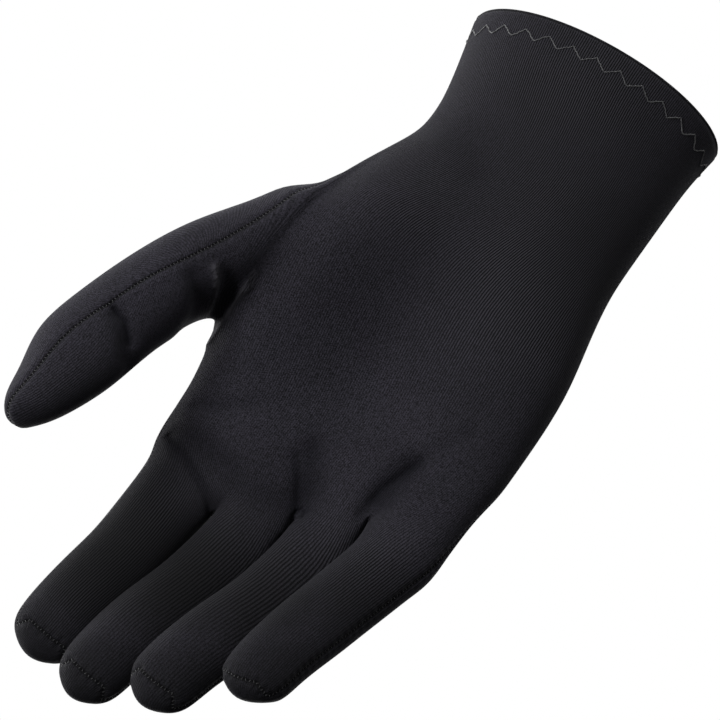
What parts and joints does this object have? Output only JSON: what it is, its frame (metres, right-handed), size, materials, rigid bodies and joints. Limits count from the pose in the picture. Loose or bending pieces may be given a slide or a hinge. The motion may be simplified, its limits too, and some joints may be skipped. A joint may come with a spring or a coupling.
{
  "type": "glove liner",
  "caption": "Thin stretch-knit glove liner for a right hand in worn form, with a palm panel, a back panel wrapping over the fingertips and a plain turned-up cuff hem.",
  "frame": {"origin": "centre of the cuff opening, in the plane of its edge", "axes": "+Z from the cuff to the fingertips, -Y out of the palm side, +X to the thumb side"},
  "size_m": [0.1423, 0.0746, 0.2378],
  "materials": {
    "knit": "fine rib stretch knit, slight sheen",
    "hem": "same knit, turned up and zigzag stitched"
  },
  "bodies": {
    "root": {"palm_panel": "knit", "back_panel": "knit", "cuff_hem": "hem"}
  },
  "joints": []
}
